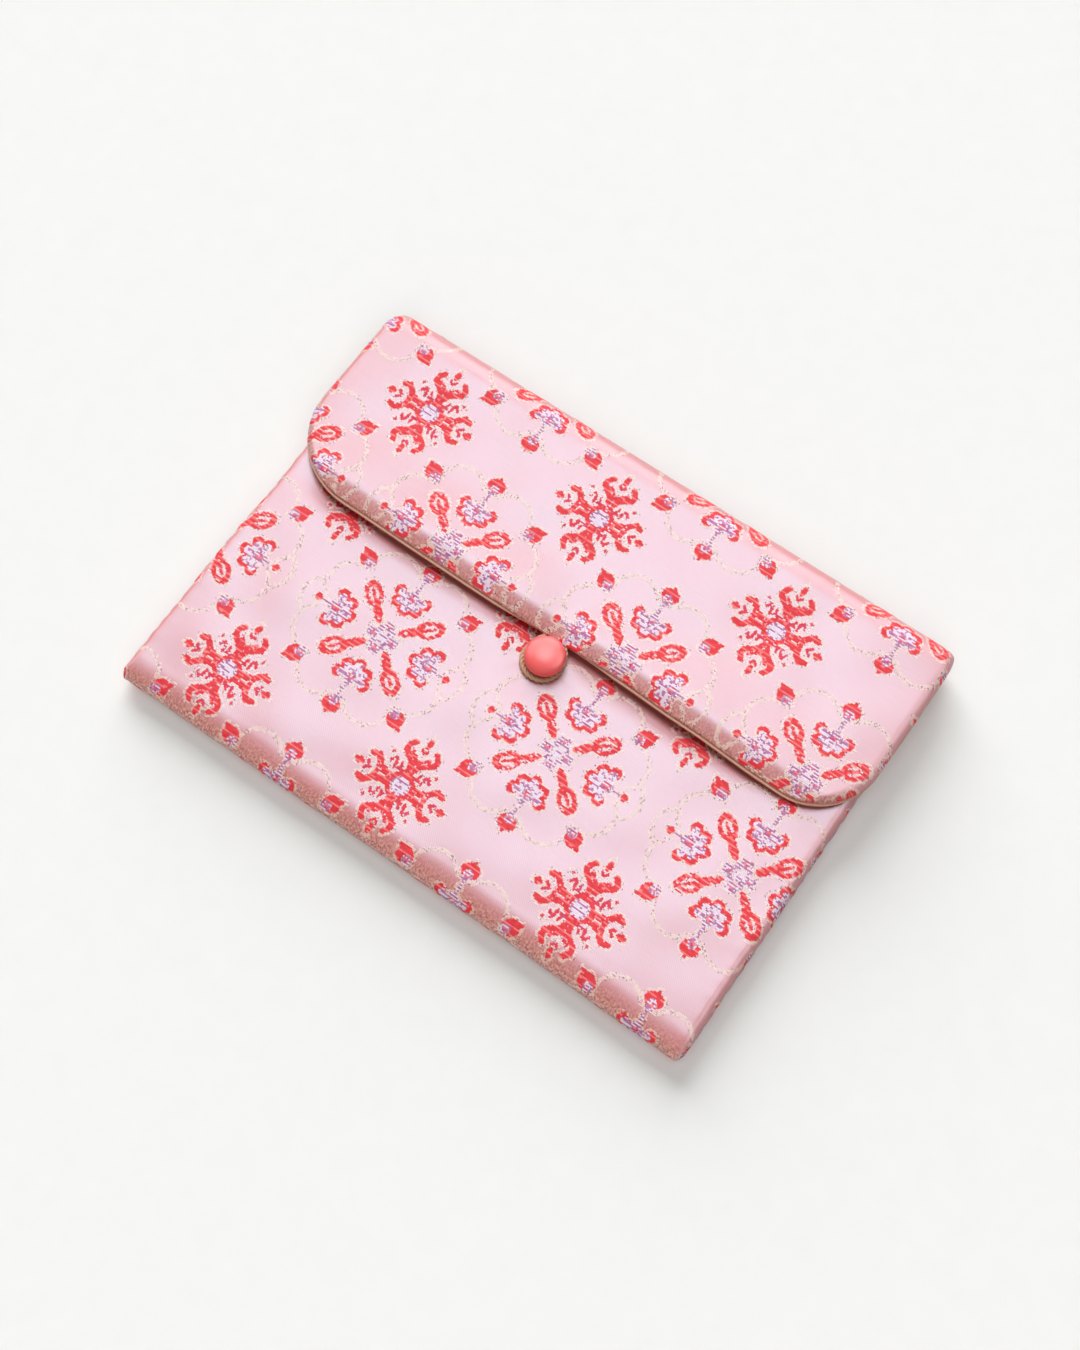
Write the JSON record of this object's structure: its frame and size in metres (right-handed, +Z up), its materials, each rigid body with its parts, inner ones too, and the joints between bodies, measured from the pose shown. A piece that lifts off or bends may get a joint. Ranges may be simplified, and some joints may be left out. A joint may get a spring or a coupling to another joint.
{
  "type": "flap pouch",
  "caption": "Flat brocade pouch lying on its back, a hollow pocket under a round-cornered flap that a cord loop closes over a domed button.",
  "frame": {"origin": "centre of the bounding box on the floor, under the pouch as it lies on its back", "axes": "+X across the pouch, +Y from the bottom fold to the top fold, +Z up out of the front"},
  "size_m": [0.2048, 0.1462, 0.0162],
  "materials": {
    "brocade": "satin brocade with woven motifs",
    "lining": "plain woven lining",
    "coral": "polished",
    "cord": "twisted cord"
  },
  "bodies": {
    "root": {"pocket": "brocade", "flap": "brocade", "flap_lining": "lining", "button": "coral", "button_loop": "cord"}
  },
  "joints": []
}
